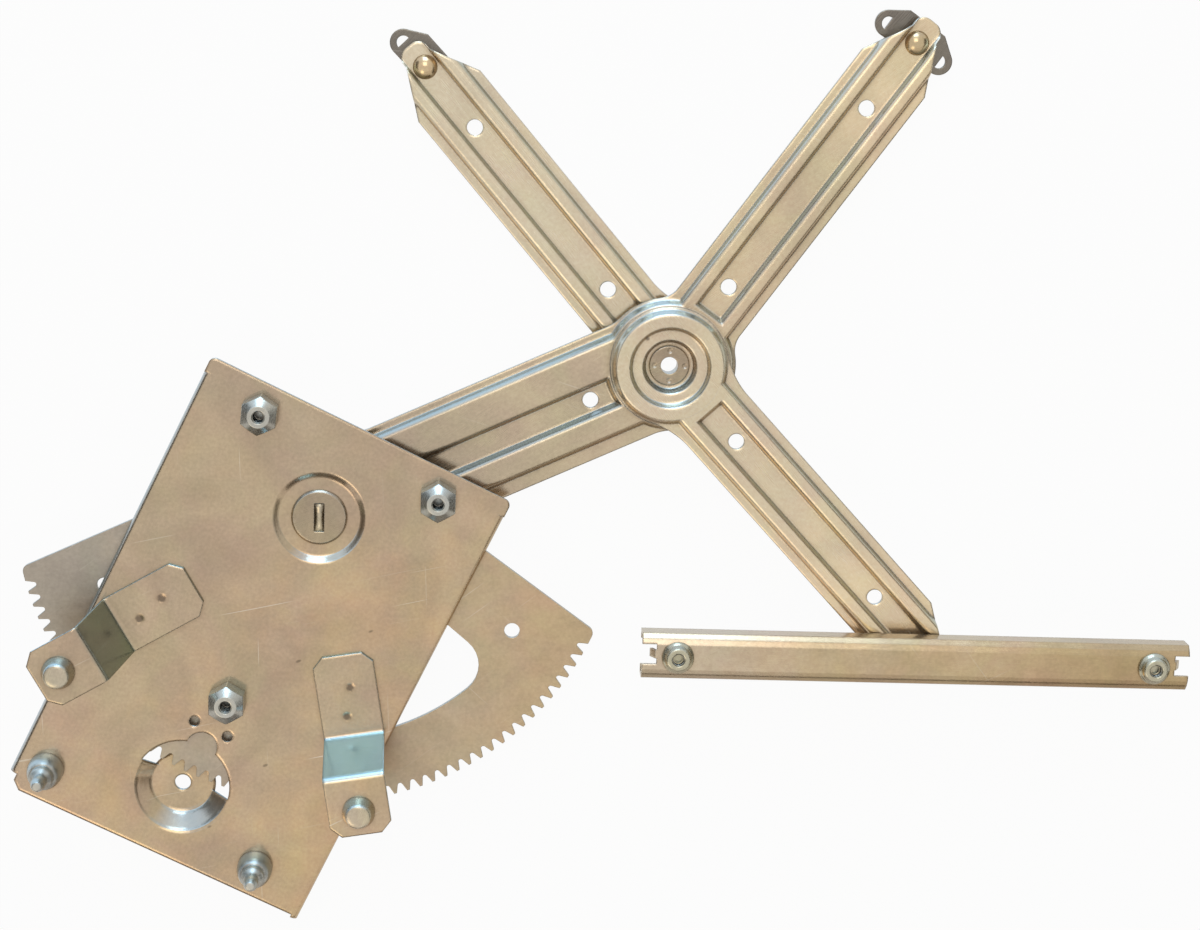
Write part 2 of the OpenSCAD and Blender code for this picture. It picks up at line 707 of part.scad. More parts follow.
// Section of a pressed rib that stands on the web, from one edge to the other.
// The inner section, shrink thinner all round, hollows it from behind.
module rib_section(low, high, round_r, slope, shrink = 0, top = rib_top) {
    crest_low = [low + slope + round_r / 2, top - round_r];
    crest_high = [high - slope - round_r / 2, top - round_r];
    foot_low = touch([low, 0], crest_low, round_r, -1);
    foot_high = touch([high, 0], crest_high, round_r, 1);
    away_low = (foot_low - crest_low) / round_r;
    away_high = (foot_high - crest_high) / round_r;
    r = round_r - shrink;
    hip_low = crest_low + r * away_low;
    hip_high = crest_high + r * away_high;
    bottom = shrink > 0 ? -arm_t - past : -arm_t / 2;
    toe_low = [hip_low[0] - (bottom - hip_low[1]) * away_low[1] / away_low[0], bottom];
    toe_high = [hip_high[0] - (bottom - hip_high[1]) * away_high[1] / away_high[0], bottom];
    turn_low = atan2(away_low[1], away_low[0]);
    turn_high = atan2(away_high[1], away_high[0]);
    polygon(concat([toe_low], arc(crest_low, r, turn_low, 90, bend_steps),
        arc(crest_high, r, 90, turn_high, bend_steps), [toe_high]));
}

ring_slope = 2.6;
// Edges of the two ribs on the lift arm's lower part, from its middle line
wide_ribs = [[4.2, 0.875 * lift_w / 2], [-0.775 * lift_w / 2, -6.3]];

module rib_bar(from, to, low, high, round_r, slope, shrink) {
    translate([from, 0, 0]) rotate([90, 0, 90]) linear_extrude(to - from)
        rib_section(low, high, round_r, slope, shrink);
}

module slim_ribs(from, to, shrink = 0) {
    for (side = [0, 1]) mirror([0, side, 0])
        rib_bar(from, to, slim_rib_in, slim_rib_out, slim_round, slim_slope, shrink);
}

// Raised bridge between a slender arm's ribs, from the hub to the start of the web
module web_end(from, start, shrink = 0) {
    top = rib_top - 0.06 - shrink;
    half = slim_rib_in + slim_slope + slim_round / 2 + 0.7;
    bottom = shrink > 0 ? -arm_t - past : -arm_t / 2;
    foot = start - 0.8 * shrink;
    translate([0, half, 0]) rotate([90, 0, 0]) linear_extrude(2 * half)
        polygon(concat([[from, bottom], [foot, bottom]], smooth_step(foot, 0, foot - 2.6, top, 5), [[from, top]]));
}

// Plan of a slender arm that ends in a tab past its rivet
module slim_outline(reach) {
    half = slim_w / 2;
    tab = tab_w / 2;
    tab_round = tab - 1.8;
    polygon([[0, -half], [reach - taper_back, -half], [reach + 5, -tab], [reach + 5, tab],
        [reach - taper_back, half], [0, half]]);
    translate([reach, -tab]) square([tab_end - tab_round, tab_w]);
    translate([reach, tab_round - tab]) square([tab_end, tab_w - 2 * tab_round]);
    for (side = [-1, 1])
        translate([reach + tab_end - tab_round, side * (tab - tab_round)]) circle(tab_round);
}

// Fills the corners between a round hub and the sides of an arm along X. They sink
// a little into both, so that the three outlines cross instead of just touching.
module blends(hub_r, half, r) {
    sink = 0.04;
    reach = hub_r + r - sink;
    centre = [sqrt(pow(reach, 2) - pow(half + r - sink, 2)), half + r - sink];
    start = atan2(centre[1], centre[0]) + 180;
    upper = concat([[0, 0], [centre[0], 0]], arc(centre, r, 270, start, 10));
    lower = [for (i = [len(upper) - 1 : -1 : 0]) [upper[i][0], -upper[i][1]]];
    polygon(upper);
    polygon(lower);
}

// Flat-topped solid of revolution with a sloping skirt, or the space under it
module plateau(top_r, foot_r, shrink = 0) {
    lift = rib_h - shrink;
    narrow = shrink * 0.9;
    floor = shrink > 0 ? -arm_t - past : -arm_t / 2;
    rotate_extrude() polygon(concat([[0, floor], [foot_r - narrow, floor], [foot_r - narrow, 0]],
        smooth_step(foot_r - narrow, 0, top_r - narrow, lift, 6), [[0, lift]]));
}

// Ring-shaped rib round a hub, or the space under it
module ring_rib(shrink = 0) {
    narrow = 0.75 * shrink;
    floor = shrink > 0 ? -arm_t - past : -arm_t / 2;
    low = ring_in_r + narrow;
    high = ring_out_r - narrow;
    rise = rib_h - shrink;
    run = ring_slope * rise / rib_h;
    rotate_extrude() polygon(concat([[low, floor]], smooth_step(low, 0, low + run, rise, 5),
        smooth_step(high - run, rise, high, 0, 5), [[high, floor]]));
}

lift_flange_r = ring_out_r + hub_flange_w;
pivot_blend_r = 30;
wide_blend_r = 24;
tip_blend_r = 12;
half_blend_r = 40;

module lift_plan() {
    circle(pivot_skirt_r + pivot_flange_w);
    rotate(lift_angle) {
        translate([0, -lift_w / 2]) square([lift_reach, lift_w]);
        blends(pivot_skirt_r + pivot_flange_w, lift_w / 2, pivot_blend_r);
    }
    translate(cross) {
        circle(lift_flange_r);
        rotate(lift_angle + 180) blends(lift_flange_r, lift_w / 2, wide_blend_r);
        rotate(lift_tip_angle) {
            slim_outline(lift_tip_reach);
            blends(lift_flange_r, slim_w / 2, tip_blend_r);
        }
    }
}

// Raised forms of the lift arm, or the spaces under them
module lift_forms(shrink = 0) {
    plateau(pivot_plateau_r, pivot_skirt_r, shrink);
    difference() {
        union() {
            rotate([0, 0, lift_angle]) for (rib = wide_ribs)
                rib_bar(0, lift_reach, rib[0], rib[1], wide_round, wide_slope, shrink);
            along(cross, lift_tip_angle) {
                slim_ribs(0, lift_tip_reach + tab_end, shrink);
                web_end(0, ring_out_r + web_gap / 2, shrink);
            }
        }
        at(cross, -arm_t - 2 * past)
            cylinder(r = (ring_in_r + ring_out_r) / 2, h = rib_h + arm_t + 3 * past);
    }
    at(cross) ring_rib(shrink);
}

wide_hole_shift = -0.9;                              // off the wide part's middle line

module tool_hole(x) {
    translate([x, 0, -arm_t - past]) cylinder(r = tool_hole_r, h = arm_t + rib_h + 2 * past);
}

module lift_arm() {
    color(steel) translate([0, 0, lift_z]) difference() {
        intersection() {
            union() {
                translate([0, 0, -arm_t]) linear_extrude(arm_t) lift_plan();
                lift_forms();
            }
            translate([0, 0, -arm_t - past]) linear_extrude(arm_t + rib_h + 2 * past) lift_plan();
        }
        lift_forms(arm_t);
        translate([0, 0, -arm_t - past]) cylinder(r = pin_r + run_play, h = arm_t + rib_h + 2 * past);
        for (a = sector_rivet_angles)
            at(polar(sector_rivet_reach, a + sector_aim)) cylinder(r = sector_rivet_r, h = rib_h + past);
        at(cross, -arm_t - past) cylinder(r = sleeve_r + run_play, h = arm_t + rib_h + 2 * past);
        rotate([0, 0, lift_angle]) translate([0, wide_hole_shift, 0]) tool_hole(lift_reach - wide_hole_reach);
        along(cross, lift_tip_angle) {
            tool_hole(lift_tip_reach - arm_hole_back);
            tool_hole(lift_hole_reach);
        }
        at(right_end, -arm_t - past) cylinder(r = rivet_r, h = arm_t + 2 * past);
    }
}

// Web, ribs and hub disc of one half of the equalizer arm, along +X
module equalizer_plan(reach) {
    circle(skirt_r + hub_flange_w);
    slim_outline(reach);
    blends(skirt_r + hub_flange_w, slim_w / 2, half_blend_r);
}

module equalizer_forms(reach, shrink = 0) {
    plateau(disc_r, skirt_r, shrink);
    slim_ribs(disc_r / 2, reach + tab_end, shrink);
    web_end(disc_r / 2, skirt_r + web_gap, shrink);
}

module equalizer_half(reach, hole_near, hole_back) {
    difference() {
        intersection() {
            union() {
                translate([0, 0, -arm_t]) linear_extrude(arm_t) equalizer_plan(reach);
                equalizer_forms(reach);
            }
            translate([0, 0, -arm_t - past]) linear_extrude(arm_t + rib_h + 2 * past) equalizer_plan(reach);
        }
        equalizer_forms(reach, arm_t);
        tool_hole(reach - hole_back);
        tool_hole(hole_near);
        translate([reach, 0, -arm_t - past]) cylinder(r = rivet_r, h = arm_t + 2 * past);
        translate([0, 0, -arm_t - past]) cylinder(r = sleeve_r, h = arm_t + rib_h + 2 * past);
    }
}

// Steps that sink from the disc's ring to the floor on the lift arm
module hub_cup() {
    floor = hub_floor_z - front_z;
    step = rib_h - step_depth;
    rim = step_r + 1.6;
    rotate_extrude() polygon(sheet(concat(
        smooth_step(rim, rib_h, step_r - 0.8, step), smooth_step(hub_floor_r + 1.6, step, hub_floor_r - 0.8, floor),
        [[sleeve_r, floor]]), arm_t));
}

module equalizer_front_arm() {
    rim = step_r + 1.6;
    color(steel) along(cross, front_angle, front_z) {
        difference() {
            equalizer_half(front_reach, front_hole_reach, arm_hole_back + 0.5);
            translate([0, 0, -arm_t - past]) cylinder(r = rim, h = arm_t + rib_h + 2 * past);
        }
        hub_cup();
    }
}

module equalizer_rear_arm() {
    color(steel) along(cross, rear_angle, rear_z)
        equalizer_half(rear_reach, rear_hole_reach, arm_hole_back - 1.7);
}

// Tubular rivet of the cross pivot, staked at four places
module hub_sleeve() {
    top = hub_floor_z;
    low = rear_z + rib_h - arm_t;
    stake_r = 7;
    color(bright_zinc) at(cross) difference() {
        rotate_extrude()
            polygon([[sleeve_bore_r, top + sleeve_flange_t], [sleeve_flange_r - 0.5, top + sleeve_flange_t],
                [sleeve_flange_r, top + sleeve_flange_t - 0.5], [sleeve_flange_r, top], [sleeve_r, top],
                [sleeve_r, low], [sleeve_flange_r, low], [sleeve_flange_r, low - sleeve_flange_t],
                [sleeve_bore_r, low - sleeve_flange_t]]);
        for (a = [90, 180, 270, 360]) at(polar(stake_r, a), top + sleeve_flange_t - 0.5)
            cylinder(r1 = 0.6, r2 = 1.4, h = 0.5 + eps, $fn = 24);
    }
}

// Slide plate with two pierced ears, along X. It reaches wide above its middle and narrow below.
module slide_plate(wide, narrow) {
    ear = [ear_reach, 0];
    top = [slide_half_l, wide];
    foot = [slide_half_l, -narrow];
    high = touch(top, ear, ear_r - 0.04, -1);         // just inside the ear, so that the outlines cross
    low = touch(foot, ear, ear_r - 0.04, 1);
    difference() {
        linear_extrude(slide_t) difference() {
            union() {
                for (way = [-1, 1]) translate(way * ear) circle(ear_r);
                polygon([[-foot[0], foot[1]], foot, low, high, top, [-top[0], top[1]], [-high[0], high[1]],
                    [-low[0], low[1]]]);
            }
            for (way = [0, 1]) mirror([way, 0]) intersection() {
                translate(ear) circle(d_hole_r, $fn = 48);
                translate([ear[0], -d_hole_r]) square([d_hole_r, 2 * d_hole_r]);
            }
        }
        translate([0, 0, -past]) cylinder(r = rivet_r + run_play, h = slide_t + 2 * past);
    }
}

module glass_slide(place, turn) {
    color(dark_steel) along(place, turn, glass_slide_z) slide_plate(slide_half_w, ear_r - 0.08);
}

module rail_slide() {
    color(dark_steel) at(rail_end, rail_slide_z) slide_plate(rail_slide_half_w, rail_slide_half_w);
}

// Rivet with a domed head on the web, a shank through the slide and a flat tail.
// head_z is where the head seats and tail_z where the tail starts.
module slide_rivet(head_z, tail_z) {
    way = head_z > tail_z ? 1 : -1;
    dome_r = (pow(rivet_head_r, 2) + pow(rivet_head_h, 2)) / (2 * rivet_head_h);
    dome_a = asin(rivet_head_r / dome_r);
    dome = arc([0, rivet_head_h - dome_r], dome_r, 90, 90 - dome_a);
    shank = abs(head_z - tail_z);
    tail = shank + rivet_tail_t;
    translate([0, 0, head_z]) mirror([0, 0, way > 0 ? 0 : 1]) rotate_extrude()
        polygon(concat(dome, [[rivet_r, 0], [rivet_r, -shank], [rivet_tail_r, -shank],
            [rivet_tail_r, 0.5 - tail], [rivet_tail_r - 0.5, -tail], [0, -tail]]));
}

module lift_slide_rivet() {
    color(bright_zinc) at(right_end) slide_rivet(lift_z, glass_slide_z - side_gap / 2);
}

module equalizer_slide_rivet() {
    color(bright_zinc) at(left_end) slide_rivet(rear_z, glass_slide_z - side_gap / 2);
}

module rail_slide_rivet() {
    color(bright_zinc) at(rail_end) slide_rivet(front_back, rail_slide_z + slide_t + side_gap / 2);
}

// Guide rail, a lipped channel that opens towards the arms
module rail_shape() {
    half = rail_w / 2;
    flat = rail_flat_w / 2;
    shoulder = rail_d - rail_shoulder;
    crease = [(half + flat) / 2 + 0.1, rail_d - 0.36 * rail_shoulder];
    polygon([[-half, 0], [half, 0], [half, shoulder], crease, [flat, rail_d], [-flat, rail_d],
        [-crease[0], crease[1]], [-half, shoulder]]);
}

module rail_section() {
    mouth = rail_w / 2 - rail_t - rail_lip;
    difference() {
        rail_shape();
        offset(delta = -rail_t) rail_shape();
        translate([-mouth, -past]) square([2 * mouth, rail_t + 2 * past]);
    }
}

// Tab at the end of the rail's front, bent into the channel to stop the slide
module stop_tab() {
    middle = (rail_notch_up - rail_notch_down) / 2;
    translate([0, middle + stop_w / 2, 0]) rotate([90, 0, 0]) linear_extrude(stop_w)
        polygon([[-eps, rail_d - rail_t], [-eps, rail_d], [0.6, rail_d], [stop_reach, rail_d - stop_drop],
            [stop_reach - rail_t, rail_d - stop_drop - 0.4], [0, rail_d - rail_t]]);
}

module guide_rail() {
    web_end = rail_l / 2 - rail_notch;
    color(steel) at(rail_mid, rail_z) {
        difference() {
            translate([-rail_l / 2, 0, 0]) rotate([90, 0, 90]) linear_extrude(rail_l) rail_section();
            for (way = [0, 1]) mirror([way, 0, 0])
                translate([web_end, -rail_notch_down, rail_d - rail_t - 0.5])
                    cube([rail_notch + past, rail_notch_up + rail_notch_down, rail_t + past]);
        }
        for (way = [0, 1]) mirror([way, 0, 0]) translate([web_end, 0, 0]) stop_tab();
    }
}

module rail_nut(side) {
    color(bright_zinc) at(rail_mid + [side * rail_nut_pitch / 2, 0], rail_front) difference() {
        rotate_extrude() polygon([[0, 0], [rail_nut_r, 0], [rail_nut_r, 1],
            [rail_nut_top_r + 0.6, 2.2], [rail_nut_top_r, rail_nut_h - 0.6],
            [rail_nut_top_r - 0.6, rail_nut_h], [0, rail_nut_h]]);
        translate([0, 0, 0.8]) cylinder(r = rail_nut_bore_r, h = rail_nut_h + past);
    }
}

base_plate();
bracket(-1);  // bracket_left
bracket(1);  // bracket_right
bracket_boss(-1);  // bracket_boss_left
bracket_boss(1);  // bracket_boss_right
plate_nut([-nut_pitch / 2, nut_rise], nut_turn - 5);  // plate_nut_upper_left
plate_nut([nut_pitch / 2, nut_rise], nut_turn);  // plate_nut_upper_right
plate_nut([0, -nut_drop], nut_turn);  // plate_nut_lower
locating_stud(stud_left);  // locating_stud_left
locating_stud(stud_right);  // locating_stud_right
pivot_pin();
toothed_sector();
sector_rivets();
lift_arm();
lift_slide_rivet();
glass_slide(right_end, right_slide_turn);  // glass_slide_right
equalizer_front_arm();
equalizer_rear_arm();
hub_sleeve();
equalizer_slide_rivet();
glass_slide(left_end, left_slide_turn);  // glass_slide_left
rail_slide_rivet();
rail_slide();
guide_rail();
rail_nut(-1);  // rail_nut_left
rail_nut(1);  // rail_nut_right
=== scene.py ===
import json
import math

import bpy
from mathutils import Matrix, Vector


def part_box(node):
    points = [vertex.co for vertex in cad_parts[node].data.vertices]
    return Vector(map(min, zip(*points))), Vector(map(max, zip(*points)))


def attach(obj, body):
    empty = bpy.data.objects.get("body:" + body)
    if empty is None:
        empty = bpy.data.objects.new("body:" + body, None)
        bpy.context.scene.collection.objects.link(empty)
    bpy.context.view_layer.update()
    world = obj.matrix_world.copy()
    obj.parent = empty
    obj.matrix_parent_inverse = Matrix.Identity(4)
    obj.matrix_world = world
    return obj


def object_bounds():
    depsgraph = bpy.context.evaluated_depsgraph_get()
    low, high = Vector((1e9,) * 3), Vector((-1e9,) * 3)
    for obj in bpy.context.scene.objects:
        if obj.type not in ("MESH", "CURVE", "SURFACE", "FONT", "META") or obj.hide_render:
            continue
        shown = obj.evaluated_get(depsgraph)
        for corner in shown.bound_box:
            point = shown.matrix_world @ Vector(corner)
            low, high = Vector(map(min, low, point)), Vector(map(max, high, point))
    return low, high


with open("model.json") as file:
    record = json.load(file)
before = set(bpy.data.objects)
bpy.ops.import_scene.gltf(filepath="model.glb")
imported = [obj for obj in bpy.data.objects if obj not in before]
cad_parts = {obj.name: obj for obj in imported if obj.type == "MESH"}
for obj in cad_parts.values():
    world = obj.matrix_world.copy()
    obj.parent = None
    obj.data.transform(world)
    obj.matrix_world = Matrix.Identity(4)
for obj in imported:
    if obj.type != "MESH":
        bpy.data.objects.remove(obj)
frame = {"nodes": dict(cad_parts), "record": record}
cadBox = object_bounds()
nodes = frame["nodes"]
print("regulator: frame loaded, %d nodes" % len(nodes))

# the photo's camera, found from the round hubs, the plate and the rail
cameraShot = {
    "place": (0.06954, 0.25262, 1.088),
    "right": (0.99818, 0.03763, 0.04707),
    "up": (-0.02733, 0.97881, -0.20295),
    "sensorWidth": 36.0,
    "lens": 72.0,
    "farEnd": 20.0,
}


def addCamera(values):
    right = Vector(values["right"]).normalized()
    up = Vector(values["up"]).normalized()
    back = right.cross(up).normalized()
    up = back.cross(right)
    bpy.ops.object.camera_add(location=values["place"])
    camera = bpy.context.object
    camera.name = "photoCamera"
    turn = Matrix((right, up, back)).transposed()
    camera.matrix_world = Matrix.Translation(values["place"]) @ turn.to_4x4()
    camera.data.sensor_width = values["sensorWidth"]
    camera.data.lens = values["lens"]
    camera.data.clip_end = values["farEnd"]
    bpy.context.scene.camera = camera


studio = {
    "ambient": 0.34,
    "ambientTint": (1.0, 0.97, 0.93),
    "floorSize": 12.0,
    "floorMiddle": (0.13, 0.0),
    "floorGap": 0.0005,
    "floorPaint": 0.9,
    "floorGlow": 0.95,
    "screenRough": 0.9,
    # name, place, target, size, watts, colour
    "lamps": [
        ("frontSoft", (-0.1, 1.35, 2.6), (0.13, 0.0, 0.0), 1.4, 13.0, (1.0, 0.96, 0.90)),
        ("windowLight", (0.0, 2.3, 0.9), (0.13, 0.0, 0.0), 1.2, 18.0, (0.66, 0.86, 1.0)),
        ("warmFloorLight", (-1.0, -1.6, 1.9), (-0.05, -0.1, 0.0), 0.9, 6.0, (1.0, 0.84, 0.62)),
    ],
    # grey screens round the object, hidden from the camera, that show in the bent metal
    # name, middle, target, width, height, grey
    "screens": [
        ("leftScreen", (-1.5, 0.1, 0.45), (0.1, 0.0, 0.1), 2.4, 0.8, (0.17, 0.16, 0.145)),
        ("rightScreen", (1.8, -0.1, 0.45), (0.1, 0.0, 0.1), 2.4, 0.8, (0.15, 0.13, 0.105)),
        ("nearScreen", (0.1, -1.9, 0.40), (0.1, 0.0, 0.1), 2.6, 0.7, (0.18, 0.15, 0.115)),
    ],
}


def addLamp(name, place, target, size, watts, colour):
    bpy.ops.object.light_add(type="AREA", location=place)
    lamp = bpy.context.object
    lamp.name = name
    lamp.rotation_euler = (Vector(target) - Vector(place)).to_track_quat("-Z", "Y").to_euler()
    lamp.data.size = size
    lamp.data.energy = watts
    lamp.data.color = colour
    lamp.visible_camera = False


def addScreen(rough, name, middle, target, width, height, grey):
    bpy.ops.object.select_all(action="DESELECT")
    bpy.ops.mesh.primitive_plane_add(size=1, location=middle)
    screen = bpy.context.object
    screen.name = name
    screen.scale = (width, height, 1)
    screen.rotation_euler = (Vector(target) - Vector(middle)).to_track_quat("Z", "Y").to_euler()
    bpy.ops.object.transform_apply(location=True, rotation=True, scale=True)
    cloth = bpy.data.materials.new(name + "Cloth")
    cloth.use_nodes = True
    shader = cloth.node_tree.nodes["Principled BSDF"]
    shader.inputs["Base Color"].default_value = (*grey, 1)
    shader.inputs["Roughness"].default_value = rough
    screen.data.materials.append(cloth)
    screen.visible_camera = False  # it stands between the object and a camera at the side


def seesWhite(tree):
    # one for camera, glossy and transmission rays, and nought for the light that is cast
    path = tree.nodes.new("ShaderNodeLightPath")
    both = tree.nodes.new("ShaderNodeMath")
    both.operation = "MAXIMUM"
    tree.links.new(path.outputs["Is Camera Ray"], both.inputs[0])
    tree.links.new(path.outputs["Is Glossy Ray"], both.inputs[1])
    most = tree.nodes.new("ShaderNodeMath")
    most.operation = "MAXIMUM"
    tree.links.new(both.outputs[0], most.inputs[0])
    tree.links.new(path.outputs["Is Transmission Ray"], most.inputs[1])
    return most.outputs[0]


def setWorld(values):
    world = bpy.data.worlds.new("studioWorld")
    bpy.context.scene.world = world
    world.use_nodes = True
    tree = world.node_tree
    tree.nodes.clear()
    seen = tree.nodes.new("ShaderNodeBackground")
    seen.inputs["Color"].default_value = (1, 1, 1, 1)
    cast = tree.nodes.new("ShaderNodeBackground")
    cast.inputs["Color"].default_value = (*values["ambientTint"], 1)
    cast.inputs["Strength"].default_value = values["ambient"]
    mix = tree.nodes.new("ShaderNodeMixShader")
    out = tree.nodes.new("ShaderNodeOutputWorld")
    tree.links.new(seesWhite(tree), mix.inputs[0])
    tree.links.new(cast.outputs[0], mix.inputs[1])
    tree.links.new(seen.outputs[0], mix.inputs[2])
    tree.links.new(mix.outputs[0], out.inputs[0])


def makeFloorPaint(values):
    paint = bpy.data.materials.new("floorWhite")
    paint.use_nodes = True
    tree = paint.node_tree
    tree.nodes.clear()
    matt = tree.nodes.new("ShaderNodeBsdfDiffuse")
    matt.inputs["Color"].default_value = (values["floorPaint"],) * 3 + (1,)
    glow = tree.nodes.new("ShaderNodeEmission")
    glow.inputs["Color"].default_value = (1, 1, 1, 1)
    share = tree.nodes.new("ShaderNodeMath")
    share.operation = "MULTIPLY"
    share.inputs[1].default_value = values["floorGlow"]
    mix = tree.nodes.new("ShaderNodeMixShader")
    out = tree.nodes.new("ShaderNodeOutputMaterial")
    tree.links.new(seesWhite(tree), share.inputs[0])
    tree.links.new(share.outputs[0], mix.inputs[0])
    tree.links.new(matt.outputs[0], mix.inputs[1])
    tree.links.new(glow.outputs[0], mix.inputs[2])
    tree.links.new(mix.outputs[0], out.inputs[0])
    return paint


def addFloor(values):
    place = (*values["floorMiddle"], cadBox[0][2] - values["floorGap"])
    bpy.ops.object.select_all(action="DESELECT")
    bpy.ops.mesh.primitive_plane_add(size=values["floorSize"], location=place)
    floor = bpy.context.object
    floor.name = "studioFloor"
    bpy.ops.object.transform_apply(location=True)
    floor.data.materials.append(makeFloorPaint(values))


def setStudio(values):
    bpy.context.scene.view_settings.view_transform = "Standard"
    setWorld(values)
    for lamp in values["lamps"]:
        addLamp(*lamp)
    for screen in values["screens"]:
        addScreen(values["screenRough"], *screen)
    addFloor(values)
    print("regulator: studio set")


# cool, tint, warm: colours of the passivation, from one end of its clouds to the other
# flow: how far the clouds shift per metre along X and along Y, and where they start; the shift is partly tone
# and partly painted light, one end of a part lighter and the other darker
# rough: roughness across the streaks; grain: direction of the rolled streaks, in degrees
# round: radius of the pressed bends, and edge: reach of the worn edges and of the painted highlight on them,
# in metres
# wearAndHighlight, creaseShade, smudge, nicks: strength of the bare edges with the painted highlight on them,
# of the painted shade in creases, of the hand marks and of the nicks and scratches
# blue, olive, dull: share of the painted pale-blue light and reflection on faces that lean towards +Y, of the
# painted darker shade on those that lean towards +X and +Y, and of the painted brown shade on those that lean
# towards -Y
# blueTone, oliveTone: colours of the first two
# spots: x, y and radius of burnt marks, in metres, on the weld dimples and beside the hub
finishDefaults = {
    "creaseShade": 0.42,
    "blueTone": (0.45, 0.71, 0.91),
    "oliveTone": (0.46, 0.62, 0.70),
    "spots": (),
}

